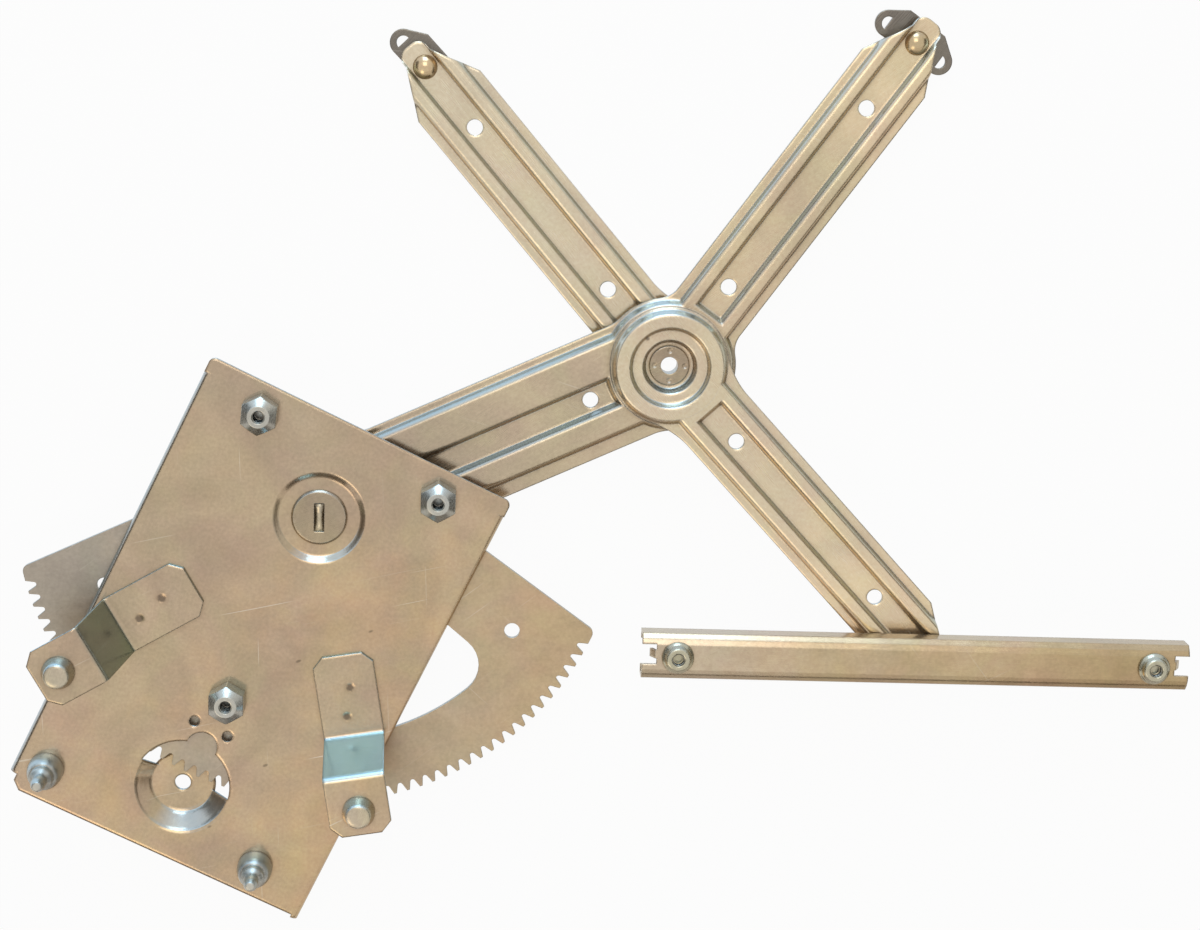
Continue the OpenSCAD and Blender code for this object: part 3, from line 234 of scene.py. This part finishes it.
finishes = {
    "plateSteel": {
        "cool": (0.473, 0.362, 0.26), "tint": (0.501, 0.362, 0.245), "warm": (0.66, 0.436, 0.24),
        "flow": (0.9, -1.6, -0.08), "metallic": 0.80, "rough": (0.13, 0.21), "grain": 65.0,
        "round": 0.0024, "edge": 0.0005, "wearAndHighlight": 0.40, "smudge": 0.11, "nicks": 0.55,
        "blue": 1.0, "olive": 0.85, "dull": 0.35,
    },
    "bracketSteel": {
        "cool": (0.473, 0.362, 0.26), "tint": (0.501, 0.372, 0.255), "warm": (0.66, 0.436, 0.24),
        "flow": (-0.4, -0.8, -0.10), "metallic": 0.80, "rough": (0.15, 0.24), "grain": 80.0,
        "round": 0.0018, "edge": 0.0005, "wearAndHighlight": 0.40, "smudge": 0.12, "nicks": 0.4,
        "blue": 1.0, "olive": 0.85, "dull": 0.35,
        # the brackets take a stronger painted pale-blue light and a lighter painted shade on their risers
        "blueTone": (0.42, 0.75, 1.0), "oliveTone": (0.50, 0.82, 1.0),
        "spots": ((-0.0824, -0.0499, 0.0014), (-0.0721, -0.0398, 0.0015),
                  (0.0147, -0.0952, 0.0014), (0.0158, -0.0809, 0.0014)),
    },
    "liftSteel": {
        "cool": (0.469, 0.367, 0.268), "tint": (0.589, 0.464, 0.321), "warm": (0.785, 0.605, 0.407),
        "flow": (2.2, 0.0, -0.40), "metallic": 0.80, "rough": (0.18, 0.28), "grain": 35.0,
        "round": 0.002, "edge": 0.0010, "wearAndHighlight": 0.60, "creaseShade": 0.75, "smudge": 0.07, "nicks": 0.2,
        "blue": 0.75, "olive": 0.6, "dull": 0.65,
    },
    "armSteel": {
        "cool": (0.654, 0.551, 0.412), "tint": (0.665, 0.535, 0.385), "warm": (0.785, 0.599, 0.407),
        "flow": (0.3, -1.3, 0.0), "metallic": 0.80, "rough": (0.18, 0.28), "grain": -50.0,
        "round": 0.002, "edge": 0.0010, "wearAndHighlight": 0.60, "creaseShade": 0.75, "smudge": 0.06, "nicks": 0.2,
        "blue": 0.75, "olive": 0.6, "dull": 0.65,
        "spots": ((0.1491, 0.0879, 0.0005),),
    },
    "sectorSteel": {
        "cool": (0.382, 0.331, 0.276), "tint": (0.456, 0.359, 0.259), "warm": (0.541, 0.382, 0.241),
        "flow": (2.6, 0.0, 0.0), "metallic": 0.70, "rough": (0.30, 0.42), "grain": 10.0,
        "round": 0.0006, "edge": 0.0003, "wearAndHighlight": 0.3, "smudge": 0.1, "nicks": 0.35,
        "blue": 0.5, "olive": 0.3, "dull": 0.3,
    },
    "railSteel": {
        "cool": (0.567, 0.445, 0.326), "tint": (0.535, 0.382, 0.236), "warm": (0.449, 0.307, 0.173),
        "flow": (3.2, 0.0, -0.92), "metallic": 0.80, "rough": (0.18, 0.28), "grain": 0.0,
        "round": 0.0015, "edge": 0.0006, "wearAndHighlight": 0.45, "creaseShade": 0.55, "smudge": 0.09, "nicks": 0.3,
        "blue": 0.12, "olive": 0.3, "dull": 0.55,
    },
    "slideSteel": {
        "cool": (0.155, 0.14, 0.128), "tint": (0.19, 0.165, 0.142), "warm": (0.26, 0.212, 0.165),
        "flow": (0.0, 0.0, 0.0), "metallic": 0.7, "rough": (0.24, 0.36), "grain": 50.0,
        "round": 0.001, "edge": 0.0004, "wearAndHighlight": 0.35, "smudge": 0.1, "nicks": 0.2,
        "blue": 0.4, "olive": 0.2, "dull": 0.3,
    },
    "brightZinc": {
        "cool": (0.38, 0.41, 0.43), "tint": (0.45, 0.43, 0.38), "warm": (0.56, 0.46, 0.31),
        "flow": (0.0, 0.0, 0.0), "metallic": 0.90, "rough": (0.22, 0.34), "grain": 70.0,
        "round": 0.0008, "edge": 0.0003, "wearAndHighlight": 0.3, "smudge": 0.08, "nicks": 0.2,
        "blue": 0.5, "olive": 0.4, "dull": 0.55,
    },
    "bossSteel": {
        "cool": (0.44, 0.40, 0.33), "tint": (0.50, 0.42, 0.31), "warm": (0.60, 0.46, 0.29),
        "flow": (0.0, 0.0, 0.0), "metallic": 0.90, "rough": (0.17, 0.27), "grain": 70.0,
        "round": 0.003, "edge": 0.0003, "wearAndHighlight": 0.3, "smudge": 0.08, "nicks": 0.2,
        "blue": 0.9, "olive": 0.4, "dull": 0.55,
    },
    "rivetSteel": {
        "cool": (0.48, 0.37, 0.24), "tint": (0.58, 0.43, 0.27), "warm": (0.74, 0.54, 0.32),
        "flow": (0.0, 0.0, 0.0), "metallic": 0.88, "rough": (0.16, 0.26), "grain": 20.0,
        "round": 0.0012, "edge": 0.0003, "wearAndHighlight": 0.4, "smudge": 0.16, "nicks": 0.3,
        "blue": 0.15, "olive": 0.3, "dull": 0.6,
    },
    "yellowZinc": {
        "cool": (0.40, 0.39, 0.33), "tint": (0.49, 0.44, 0.32), "warm": (0.60, 0.48, 0.27),
        "flow": (0.0, 0.0, 0.0), "metallic": 0.90, "rough": (0.20, 0.30), "grain": 70.0,
        "round": 0.0014, "edge": 0.0003, "wearAndHighlight": 0.3, "smudge": 0.12, "nicks": 0.2,
        "blue": 0.3, "olive": 0.4, "dull": 0.6,
    },
    "studSteel": {
        "cool": (0.40, 0.43, 0.44), "tint": (0.48, 0.46, 0.41), "warm": (0.58, 0.47, 0.31),
        "flow": (0.0, 0.0, 0.0), "metallic": 0.85, "rough": (0.32, 0.42), "grain": 70.0,
        "round": 0.002, "edge": 0.0003, "wearAndHighlight": 0.3, "smudge": 0.08, "nicks": 0.2,
        "blue": 0.6, "olive": 0.4, "dull": 0.5,
    },
    "pinSteel": {
        "cool": (0.36, 0.29, 0.215), "tint": (0.40, 0.31, 0.215), "warm": (0.46, 0.34, 0.22),
        "flow": (0.0, 0.0, 0.0), "metallic": 0.75, "rough": (0.20, 0.30), "grain": 20.0,
        "round": 0.001, "edge": 0.0005, "wearAndHighlight": 0.4, "smudge": 0.12, "nicks": 0.35,
        "blue": 0.5, "olive": 0.3, "dull": 0.5,
    },
}


class Wires:
    # adds nodes to one material; a number or a colour may stand where a socket is asked for
    def __init__(self, tree):
        self.tree = tree
        self.coordinates = self.add("TexCoord")
        self.place = self.coordinates.outputs["Object"]

    def add(self, kind):
        return self.tree.nodes.new("ShaderNode" + kind)

    def join(self, value, socket):
        if isinstance(value, bpy.types.NodeSocket):
            self.tree.links.new(value, socket)
        elif socket.type == "RGBA":
            socket.default_value = (*value, 1)
        else:
            socket.default_value = value

    def noise(self, vector, scale, detail, distortion=0.0):
        made = self.add("TexNoise")
        made.inputs["Scale"].default_value = scale
        made.inputs["Detail"].default_value = detail
        made.inputs["Distortion"].default_value = distortion
        self.join(vector, made.inputs["Vector"])
        return made.outputs["Fac"]

    def maths(self, operation, *terms):
        made = self.add("Math")
        made.operation = operation
        for socket, term in zip(made.inputs, terms):
            self.join(term, socket)
        return made.outputs[0]

    def vectorMaths(self, operation, first, second, result):
        made = self.add("VectorMath")
        made.operation = operation
        self.join(first, made.inputs[0])
        self.join(second, made.inputs[1])
        return made.outputs[result]

    def blend(self, kind, share, below, above):
        made = self.add("Mix")
        made.data_type = "RGBA"
        made.blend_type = kind
        self.join(share, made.inputs[0])
        self.join(below, made.inputs[6])
        self.join(above, made.inputs[7])
        return made.outputs[2]

    def spread(self, value, fromEnds, toEnds):
        made = self.add("MapRange")
        made.inputs["From Min"].default_value = fromEnds[0]
        made.inputs["From Max"].default_value = fromEnds[1]
        made.inputs["To Min"].default_value = toEnds[0]
        made.inputs["To Max"].default_value = toEnds[1]
        self.join(value, made.inputs["Value"])
        return made.outputs[0]

    def stretched(self, degrees, cell, shift=0.0):
        # a place whose unit cell is cell metres long, wide and high, turned about Z
        made = self.add("Mapping")
        made.vector_type = "TEXTURE"
        made.inputs["Location"].default_value = (shift, shift, 0)
        made.inputs["Rotation"].default_value = (0, 0, math.radians(degrees))
        made.inputs["Scale"].default_value = cell
        self.join(self.place, made.inputs["Vector"])
        return made.outputs[0]

    def bevel(self, radius, samples):
        made = self.add("Bevel")
        made.samples = samples
        made.inputs["Radius"].default_value = radius
        return made.outputs[0]


passivation = {
    "cloudScale": 12.0, "cloudDetail": 3.0, "cloudShare": 0.75,
    "mottleScale": 70.0, "mottleDetail": 4.0, "mottleShare": 0.35,
    "stops": (0.18, 0.5, 0.86),
    "sheenScale": 34.0, "sheenDetail": 2.0, "sheenDistortion": 0.8, "sheenEnds": (0.3, 0.7),
    "hues": (0.497, 0.519),
    "smudgeScale": 26.0, "smudgeDetail": 5.0, "smudgeDistortion": 1.2, "smudgeEnds": (0.30, 0.70),
}


def addPassivationAndPaintedFalloff(wires, values, steel):
    # clouds in two sizes about a half, and their slow shift along the sheet, which also paints one end
    # lighter and the other darker as painted light
    big = wires.noise(wires.place, values["cloudScale"], values["cloudDetail"])
    clouds = wires.maths("MULTIPLY_ADD", big, values["cloudShare"], (1 - values["cloudShare"]) / 2)
    small = wires.noise(wires.place, values["mottleScale"], values["mottleDetail"])
    lowered = wires.maths("SUBTRACT", clouds, values["mottleShare"] / 2)
    clouds = wires.maths("MULTIPLY_ADD", small, values["mottleShare"], lowered)
    split = wires.add("SeparateXYZ")
    wires.join(wires.place, split.inputs[0])
    # painted light falloff: the ramp moves along X and Y, so each part renders lighter towards one end and
    # darker towards the other
    flowX, flowY, start = steel["flow"]
    along = wires.maths("MULTIPLY_ADD", split.outputs["X"], flowX, start)
    along = wires.maths("MULTIPLY_ADD", split.outputs["Y"], flowY, along)
    ramp = wires.add("ValToRGB")
    ends = ramp.color_ramp.elements
    ends[0].position, middle, ends[1].position = values["stops"]
    ends[0].color = (*steel["cool"], 1)
    ends[1].color = (*steel["warm"], 1)
    ends.new(middle).color = (*steel["tint"], 1)
    wires.join(wires.maths("ADD", clouds, along), ramp.inputs["Fac"])

    # thin colours towards pink and green, and the hand marks in the brightness
    sheen = wires.add("HueSaturation")
    colours = wires.noise(wires.place, values["sheenScale"], values["sheenDetail"], values["sheenDistortion"])
    wires.join(wires.spread(colours, values["sheenEnds"], values["hues"]), sheen.inputs["Hue"])
    scale, detail, distortion = values["smudgeScale"], values["smudgeDetail"], values["smudgeDistortion"]
    marks = wires.noise(wires.place, scale, detail, distortion)
    marks = wires.spread(marks, values["smudgeEnds"], (-1.0, 1.0))
    wires.join(wires.maths("MULTIPLY_ADD", marks, steel["smudge"], 1.0), sheen.inputs["Value"])
    wires.join(ramp.outputs["Color"], sheen.inputs["Color"])
    return sheen.outputs["Color"]


rolling = {
    "streakCell": (0.011, 0.0004, 0.0004), "streakDetail": 3.0, "streakShare": 0.05,
    "speckleScale": 620.0, "speckleDetail": 2.0, "speckleShare": 0.16,
}


def addRolling(wires, values, steel, colour):
    # rolled streaks along the sheet and the fine speckle of the zinc
    streaks = wires.noise(wires.stretched(steel["grain"], values["streakCell"]), 1.0, values["streakDetail"])
    speckle = wires.noise(wires.place, values["speckleScale"], values["speckleDetail"])
    colour = wires.blend("OVERLAY", values["streakShare"], colour, streaks)
    return wires.blend("OVERLAY", values["speckleShare"], colour, speckle), streaks, speckle


handling = {
    "nickCell": (0.018, 0.009, 0.012), "nickTurn": -40.0, "nickSize": (0.05, 0.09), "nickRare": (0.93, 0.94),
    "nickColour": (0.12, 0.085, 0.055),
    "scratchCell": (0.06, 0.0011, 0.06), "scratchThin": (0.72, 0.76),
    # turn from the grain and shift of the pattern, for each direction
    "scratchWays": ((28.0, 0.3), (-52.0, 1.1)),
    "patchScale": 0.05, "patchEnds": (0.45, 0.6),
    "scratchColour": (0.80, 0.74, 0.64),
}


def addNicks(wires, values, steel, colour):
    # dark specks in a few cells only
    cells = wires.add("TexVoronoi")
    cells.inputs["Scale"].default_value = 1.0
    turned = wires.stretched(steel["grain"] + values["nickTurn"], values["nickCell"])
    wires.join(turned, cells.inputs["Vector"])
    chosen = wires.add("SeparateColor")
    wires.join(cells.outputs["Color"], chosen.inputs["Color"])
    near = wires.spread(cells.outputs["Distance"], values["nickSize"], (1.0, 0.0))
    rare = wires.spread(chosen.outputs["Red"], values["nickRare"], (0.0, steel["nicks"]))
    nick = wires.maths("MULTIPLY", near, rare)
    return wires.blend("MIX", nick, colour, values["nickColour"]), nick


def addScratches(wires, values, steel, colour):
    # fine pale scratches in two directions, in patches
    for turn, shift in values["scratchWays"]:
        run = wires.stretched(steel["grain"] + turn, values["scratchCell"], shift)
        scratch = wires.spread(wires.noise(run, 1.0, 1.0), values["scratchThin"], (0.0, steel["nicks"]))
        here = wires.spread(wires.noise(run, values["patchScale"], 1.0), values["patchEnds"], (0.0, 1.0))
        colour = wires.blend("MIX", wires.maths("MULTIPLY", scratch, here), colour, values["scratchColour"])
    return colour


burns = {
    "raggedScale": 900.0, "raggedDetail": 2.0, "ragged": 0.0012,
    "scorchOut": 0.0014, "scorchIn": 0.0004, "scorchShare": 0.75, "scorchColour": (0.15, 0.11, 0.08),
    # reach of the halo, as shares of the mark's radius
    "haloEnds": (3.2, 1.6), "haloShare": 0.28, "haloColour": (0.55, 0.47, 0.38),
}


def addBurns(wires, values, steel, colour):
    # a dark mark with a paler halo at each spot
    for x, y, radius in steel["spots"]:
        flat = wires.vectorMaths("MULTIPLY", wires.place, (1, 1, 0), 0)
        away = wires.vectorMaths("DISTANCE", flat, (x, y, 0), "Value")
        ragged = wires.noise(wires.place, values["raggedScale"], values["raggedDetail"])
        far = wires.maths("MULTIPLY_ADD", ragged, values["ragged"], away)
        scorchEnds = (radius + values["scorchOut"], radius + values["scorchIn"])
        scorch = wires.spread(far, scorchEnds, (0.0, values["scorchShare"]))
        colour = wires.blend("MIX", scorch, colour, values["scorchColour"])
        haloEnds = [radius * share for share in values["haloEnds"]]
        halo = wires.spread(far, haloEnds, (0.0, values["haloShare"]))
        colour = wires.blend("MULTIPLY", halo, colour, values["haloColour"])
    return colour


# the way that a face turns to take each painted light and shade, and how closely it has to, from the first
# trace to all of it
paintedSideLight = {
    "blue": {"way": (-0.3, 0.954, 0.0), "ends": (0.30, 0.90)},
    "olive": {"way": (0.85, 0.53, 0.0), "ends": (0.45, 0.90)},
    "dull": {"way": (0.2, -0.98, 0.0), "ends": (0.20, 0.75), "tone": (0.42, 0.31, 0.20)},
}


def addPaintedSideLight(wires, values, steel, colour):
    # painted light and shade by the way a face turns: painted pale-blue light and reflection towards +Y,
    # painted darker shade towards +X and +Y, and painted brown shade towards -Y
    normal = wires.coordinates.outputs["Normal"]

    def share(name):
        facing = wires.vectorMaths("DOT_PRODUCT", normal, values[name]["way"], "Value")
        return wires.spread(facing, values[name]["ends"], (0.0, steel[name]))

    colour = wires.blend("MIX", share("blue"), colour, steel["blueTone"])
    colour = wires.blend("MULTIPLY", share("olive"), colour, steel["oliveTone"])
    return wires.blend("MULTIPLY", share("dull"), colour, values["dull"]["tone"])


creaseShadeAndEdges = {
    "samples": 6, "creaseReach": 0.003, "creaseEnds": (0.35, 0.88), "creaseShadeColour": (0.42, 0.34, 0.25),
    "edgeEnds": (0.985, 0.90), "bareAndHighlightColour": (0.70, 0.66, 0.58),
}


def addPaintedCreaseShadeAndEdges(wires, values, steel, colour):
    # painted shade in the creases, darker where the occlusion finds near faces, and bare metal on the worn
    # edges, lightened also as a painted highlight
    crease = wires.add("AmbientOcclusion")
    crease.samples = values["samples"]
    crease.inputs["Distance"].default_value = values["creaseReach"]
    # painted shade: the colour darkens where the occlusion is strong
    creaseShade = wires.spread(crease.outputs["AO"], values["creaseEnds"], (steel["creaseShade"], 0.0))
    colour = wires.blend("MULTIPLY", creaseShade, colour, values["creaseShadeColour"])
    rounded = wires.bevel(steel["edge"], values["samples"])
    normal = wires.add("NewGeometry").outputs["Normal"]
    turned = wires.vectorMaths("DOT_PRODUCT", rounded, normal, "Value")
    # partly edge wear, partly a painted highlight along edges and rib crests
    wornAndLitEdge = wires.spread(turned, values["edgeEnds"], (0.0, steel["wearAndHighlight"]))
    return wires.blend("MIX", wornAndLitEdge, colour, values["bareAndHighlightColour"])


surface = {
    "polishEnds": (0.3, 0.7), "smearScale": 45.0, "smearDetail": 3.0, "smearEnds": (0.35, 0.7),
    "smear": (0.92, 1.12), "bevelSamples": 8, "bump": 0.08, "bumpDepth": 0.0002, "nickDepth": 1.5,
}


def setSurface(wires, values, steel, shader, streaks, speckle, nick):
    polish = wires.spread(streaks, values["polishEnds"], steel["rough"])
    smear = wires.noise(wires.place, values["smearScale"], values["smearDetail"])
    smear = wires.spread(smear, values["smearEnds"], values["smear"])
    wires.join(wires.maths("MULTIPLY", polish, smear), shader.inputs["Roughness"])
    bump = wires.add("Bump")
    bump.inputs["Strength"].default_value = values["bump"]
    bump.inputs["Distance"].default_value = values["bumpDepth"]
    height = wires.maths("SUBTRACT", speckle, wires.maths("MULTIPLY", nick, values["nickDepth"]))
    wires.join(height, bump.inputs["Height"])
    wires.join(wires.bevel(steel["round"], values["bevelSamples"]), bump.inputs["Normal"])
    wires.join(bump.outputs[0], shader.inputs["Normal"])


def makeFinish(name, values):
    made = bpy.data.materials.new(name)
    made.use_nodes = True
    shader = made.node_tree.nodes["Principled BSDF"]
    shader.inputs["Metallic"].default_value = values["metallic"]
    wires = Wires(made.node_tree)
    colour = addPassivationAndPaintedFalloff(wires, passivation, values)
    colour, streaks, speckle = addRolling(wires, rolling, values, colour)
    colour, nick = addNicks(wires, handling, values, colour)
    colour = addScratches(wires, handling, values, colour)
    colour = addBurns(wires, burns, values, colour)
    colour = addPaintedSideLight(wires, paintedSideLight, values, colour)
    colour = addPaintedCreaseShadeAndEdges(wires, creaseShadeAndEdges, values, colour)
    wires.join(colour, shader.inputs["Base Color"])
    setSurface(wires, surface, values, shader, streaks, speckle, nick)
    return made


finishOfSlot = {
    "plate_steel": "plateSteel",
    "arm_steel": "armSteel",
    "rail_steel": "railSteel",
    "sector_steel": "sectorSteel",
    "slide_steel": "slideSteel",
    "bright_zinc": "brightZinc",
}

# nodes whose finish differs from their slot's
finishOfNode = {
    "pivot_pin": "pinSteel",
    "hub_sleeve": "pinSteel",
    "lift_arm": "liftSteel",
    "bracket_left": "bracketSteel",
    "bracket_right": "bracketSteel",
    "bracket_boss_left": "bossSteel",
    "bracket_boss_right": "bossSteel",
    "lift_slide_rivet": "rivetSteel",
    "equalizer_slide_rivet": "rivetSteel",
    "rail_slide_rivet": "rivetSteel",
    "rail_nut_left": "yellowZinc",
    "rail_nut_right": "yellowZinc",
    "locating_stud_left": "studSteel",
    "locating_stud_right": "studSteel",
}


def dressFrame():
    made = {name: makeFinish(name, {**finishDefaults, **values}) for name, values in finishes.items()}
    slotOfNode = {part["node"]: part["material_slot"] for part in frame["record"]["subparts"]}
    for name, piece in nodes.items():
        for slot in piece.material_slots:
            slot.material = made[finishOfNode.get(name, finishOfSlot[slotOfNode[name]])]
    print("regulator: %d finishes on %d nodes" % (len(made), len(nodes)))
    return made


# the ridge's half width is a share of the pitch; bury is how far its foot lies in the bore's wall
thread = {
    "pitch": 0.001,
    "deep": 0.0005,
    "halfWidth": 0.45,
    "bury": 0.00003,
    "ends": 0.0004,
    "stepsPerTurn": 28,
    "slot": "bright_zinc",
}


def addThread(values, name, hole, body, finish):
    bore = hole["dims"]["r_mm"] / 1000
    length = hole["dims"]["length_mm"] / 1000 - 2 * values["ends"]
    turns = length / values["pitch"] - 1
    bpy.ops.object.select_all(action="DESELECT")
    bpy.ops.mesh.primitive_circle_add(vertices=3, radius=values["pitch"] / 2, fill_type="NOTHING")
    ridge = bpy.context.object
    ridge.name = name
    foot = bore + values["bury"]
    half = values["halfWidth"]
    corners = ((foot, -half), (foot, half), (bore - values["deep"], 0.0))
    for point, (radius, rise) in zip(ridge.data.vertices, corners):
        point.co = (radius, 0, rise * values["pitch"])
    wind = ridge.modifiers.new("wind", "SCREW")
    wind.axis = "Z"
    wind.angle = 2 * math.pi * turns
    wind.screw_offset = values["pitch"] * turns
    wind.steps = wind.render_steps = int(values["stepsPerTurn"] * turns)
    wind.use_normal_calculate = True
    bpy.ops.object.modifier_apply(modifier="wind")
    bpy.ops.object.mode_set(mode="EDIT")
    bpy.ops.mesh.select_all(action="SELECT")
    bpy.ops.mesh.fill_holes(sides=3)
    bpy.ops.mesh.select_all(action="SELECT")
    bpy.ops.mesh.normals_make_consistent(inside=False)
    bpy.ops.object.mode_set(mode="OBJECT")
    x, y, z = hole["pos_m"]
    ridge.location = (x, y, z - values["pitch"] * turns / 2)
    bpy.ops.object.transform_apply(location=True, rotation=True, scale=True)
    ridge.data.materials.append(finish)
    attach(ridge, body)


def addThreads(values, finish):
    holes = [hole for hole in frame["record"]["mounts"] if hole["kind"] == "threaded_hole"]
    for hole in holes:
        body = "guide_rail" if hole["name"].startswith("rail") else "base"
        addThread(values, hole["name"] + "_thread", hole, body, finish)
    print("regulator: %d threads" % len(holes))


# below: depth of its underside under the pin's top; high and low: its thickness at the ends and in the middle
pinFloor = {
    "width": 0.0044,
    "length": 0.0132,
    "below": 0.0013,
    "high": 0.0011,
    "low": 0.0006,
    "rows": 12,
    "edgeRound": 0.00015,
    "roundSteps": 2,
    "smoothAngle": 30.0,
    "slot": "bright_zinc",
}

hair = 0.00001  # nearer than this counts as the same place


def pickVertices(piece, test):
    bpy.ops.object.mode_set(mode="EDIT")
    bpy.ops.mesh.select_mode(type="VERT")
    bpy.ops.mesh.select_all(action="DESELECT")
    bpy.ops.object.mode_set(mode="OBJECT")
    for point in piece.data.vertices:
        point.select = test(point.co)
    bpy.ops.object.mode_set(mode="EDIT")


def addPinFloor(values, finish):
    # the milled floor of the slot in the pin's head, hollow along its length
    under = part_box("pivot_pin")[1][2] - values["below"]
    length = values["length"]
    size = (values["width"], length, values["low"])
    bpy.ops.object.select_all(action="DESELECT")
    bpy.ops.mesh.primitive_cube_add(size=1, location=(0, 0, under + values["low"] / 2), scale=size)
    floor = bpy.context.object
    floor.name = "pin_slot_floor"
    bpy.ops.object.transform_apply(location=True, rotation=True, scale=True)
    bpy.ops.object.mode_set(mode="EDIT")
    for row in range(1, values["rows"]):
        bpy.ops.mesh.select_all(action="SELECT")
        bpy.ops.mesh.bisect(plane_co=(0, length * (row / values["rows"] - 0.5), 0), plane_no=(0, 1, 0))
    for row in range(values["rows"] + 1):
        share = row / values["rows"] * 2 - 1
        lift = (values["high"] - values["low"]) * share * share
        if lift > hair:
            pickVertices(floor, lambda co: co.z > under + hair and abs(co.y - share * length / 2) < hair)
            bpy.ops.transform.translate(value=(0, 0, lift))
    bpy.ops.object.mode_set(mode="OBJECT")
    soften = floor.modifiers.new("soften", "BEVEL")
    soften.width = values["edgeRound"]
    soften.segments = values["roundSteps"]
    soften.limit_method = "ANGLE"
    bpy.ops.object.modifier_apply(modifier="soften")
    bpy.ops.object.shade_smooth_by_angle(angle=math.radians(values["smoothAngle"]))
    floor.data.materials.append(finish)
    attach(floor, "base")
    print("regulator: slot floor in the pin")


addCamera(cameraShot)
setStudio(studio)
steels = dressFrame()
addThreads(thread, steels["brightZinc"])
addPinFloor(pinFloor, steels["bossSteel"])

print("regulator: done")
